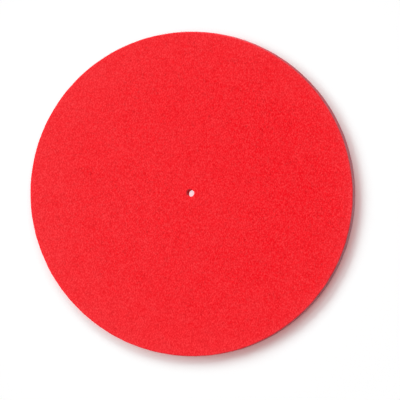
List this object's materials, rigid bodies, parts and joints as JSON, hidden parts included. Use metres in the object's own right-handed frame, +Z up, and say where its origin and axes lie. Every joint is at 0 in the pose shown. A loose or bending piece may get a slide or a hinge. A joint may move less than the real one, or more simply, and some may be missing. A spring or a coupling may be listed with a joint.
{
  "type": "turntable platter mat",
  "caption": "Flat round mat of thick red felt with a small spindle hole in the middle; it lies on a turntable platter under the record.",
  "frame": {"origin": "centre of the spindle hole, on the plane of the underside", "axes": "+Z up through the mat along the spindle hole, from the underside to the face that the record lies on; +X and +Y lie in the mat, and no direction in it differs from another"},
  "size_m": [0.3, 0.3, 0.003],
  "materials": {
    "red_felt": "matte"
  },
  "bodies": {
    "root": {"felt_mat": "red_felt"}
  },
  "joints": []
}
